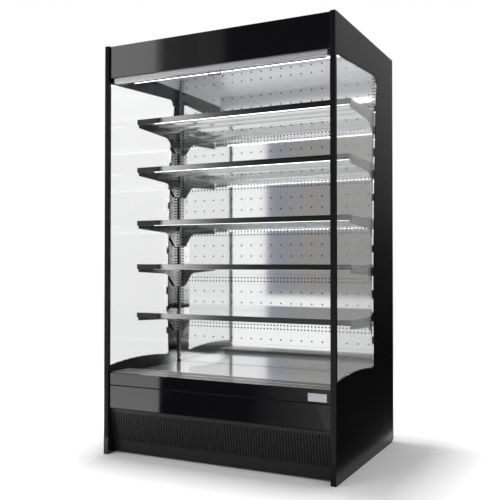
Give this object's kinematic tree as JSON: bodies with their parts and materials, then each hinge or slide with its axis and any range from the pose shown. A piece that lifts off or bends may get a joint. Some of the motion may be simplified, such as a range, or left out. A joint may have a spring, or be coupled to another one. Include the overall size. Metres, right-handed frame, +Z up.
{
  "type": "open multideck display fridge",
  "caption": "Tall open-front refrigerated display case with tilting steel shelves, glazed side walls, a pull-down night blind and cooling machinery in the base.",
  "frame": {"origin": "on the floor, under the middle of the cabinet's width and depth", "axes": "+Z up, +Y towards the rear wall, +X to the right as a shopper faces the open front"},
  "size_m": [1.2, 0.88, 2],
  "materials": {
    "shell_black": "satin",
    "gloss_black": "gloss",
    "post_steel": "satin",
    "steel_panel": "satin",
    "steel_shelf": "polished",
    "steel_frame": "matt",
    "glazing": "clear",
    "seal_rubber": "matt",
    "black_plastic": "matt",
    "lamp_white": "lit diffuser",
    "bar_metal": "satin anodised",
    "blind_cloth": "woven, coated",
    "handle_wire": "polished",
    "coil_fins": "bare fins",
    "galvanised": "galvanised sheet",
    "compressor_black": "satin",
    "arm_black": "satin"
  },
  "bodies": {
    "cabinet": {"air_outlet_grille": "steel_panel", "back_panel_1": "steel_panel", "back_panel_2": "steel_panel", "back_panel_3": "steel_panel", "back_panel_4": "steel_panel", "back_panel_5": "steel_panel", "back_panel_foot": "steel_panel", "back_panel_top": "steel_panel", "base_frame": "steel_frame", "base_tub": "galvanised", "canopy_fascia": "gloss_black", "canopy_lamp": "lamp_white", "ceiling_panel": "steel_panel", "compressor": "compressor_black", "condenser_coil": "coil_fins", "condenser_shroud": "galvanised", "controller": "black_plastic", "deck_plate": "steel_shelf", "drain_pan": "black_plastic", "edge_trims": "shell_black", "evap_fan_plate": "galvanised", "evaporator_coil": "coil_fins", "front_post_left": "post_steel", "front_post_right": "post_steel", "glass_seals": "seal_rubber", "kick_grille": "shell_black", "lower_fascia": "gloss_black", "rear_wall": "shell_black", "return_grille": "steel_shelf", "roller_brackets": "galvanised", "roof_panel": "shell_black", "side_glass_left": "glazing", "side_glass_right": "glazing", "side_panel_left": "shell_black", "side_panel_right": "shell_black", "slotted_uprights": "arm_black", "upper_fascia": "gloss_black"},
    "blind_bar": {"blind_bar": "bar_metal", "blind_fabric": "blind_cloth"},
    "blind_roller": {"blind_roller": "bar_metal"},
    "blind_handle": {"blind_handle": "handle_wire"},
    "condenser_fan": {"condenser_fan": "black_plastic"},
    "evap_fan_left": {"evap_fan_left": "black_plastic"},
    "evap_fan_right": {"evap_fan_right": "black_plastic"},
    "power_rocker": {"power_rocker": "black_plastic"},
    "shelf_1": {"shelf_plate_1": "steel_shelf", "lamp_rail_1": "gloss_black", "shelf_arms_1": "arm_black"},
    "shelf_2": {"shelf_plate_2": "steel_shelf", "lamp_rail_2": "gloss_black", "shelf_arms_2": "arm_black"},
    "shelf_3": {"shelf_plate_3": "steel_shelf", "lamp_rail_3": "gloss_black", "shelf_arms_3": "arm_black"},
    "shelf_4": {"shelf_plate_4": "steel_shelf", "lamp_rail_4": "gloss_black", "shelf_arms_4": "arm_black"},
    "shelf_5": {"shelf_plate_5": "steel_shelf", "lamp_rail_5": "gloss_black", "shelf_arms_5": "arm_black"}
  },
  "joints": [
    {"name": "shelf_1_tilt", "type": "hinge", "parent": "cabinet", "child": "shelf_1", "pos_m": [0, 0.21, 0.66075], "axis": [-1, 0, 0], "range_deg": [0, 8]},
    {"name": "shelf_2_tilt", "type": "hinge", "parent": "cabinet", "child": "shelf_2", "pos_m": [0, 0.21, 0.91075], "axis": [-1, 0, 0], "range_deg": [0, 8]},
    {"name": "shelf_3_tilt", "type": "hinge", "parent": "cabinet", "child": "shelf_3", "pos_m": [0, 0.21, 1.13575], "axis": [-1, 0, 0], "range_deg": [0, 8]},
    {"name": "shelf_4_tilt", "type": "hinge", "parent": "cabinet", "child": "shelf_4", "pos_m": [0, 0.21, 1.41075], "axis": [-1, 0, 0], "range_deg": [0, 8]},
    {"name": "shelf_5_tilt", "type": "hinge", "parent": "cabinet", "child": "shelf_5", "pos_m": [0, 0.21, 1.66075], "axis": [-1, 0, 0], "range_deg": [0, 8]},
    {"name": "blind_slide", "type": "slide", "parent": "cabinet", "child": "blind_bar", "axis": [0, 0, -1], "range_m": [0, 1.385], "deforming": ["blind_fabric"]},
    {"name": "blind_roller_turn", "type": "hinge", "parent": "cabinet", "child": "blind_roller", "pos_m": [0, -0.385, 1.93], "axis": [1, 0, 0], "range_deg": [0, 2590]},
    {"name": "blind_handle_swing", "type": "hinge", "parent": "blind_bar", "child": "blind_handle", "pos_m": [0, -0.408, 1.81475], "axis": [1, 0, 0], "range_deg": [-75, 75]},
    {"name": "condenser_fan_spin", "type": "hinge", "parent": "cabinet", "child": "condenser_fan", "pos_m": [-0.23, -0.228, 0.136], "axis": [0, 1, 0], "continuous": true},
    {"name": "evap_fan_left_spin", "type": "hinge", "parent": "cabinet", "child": "evap_fan_left", "pos_m": [-0.27, -0.145, 0.333], "axis": [0, 0, 1], "continuous": true},
    {"name": "evap_fan_right_spin", "type": "hinge", "parent": "cabinet", "child": "evap_fan_right", "pos_m": [0.27, -0.145, 0.333], "axis": [0, 0, 1], "continuous": true},
    {"name": "power_rocker_tip", "type": "hinge", "parent": "cabinet", "child": "power_rocker", "pos_m": [0.4275, -0.342, 0.145], "axis": [1, 0, 0], "range_deg": [-16, 0]}
  ],
  "couplings": [
    {"joint": "blind_roller_turn", "follows": "blind_slide", "rad_per_m": 32.573}
  ]
}
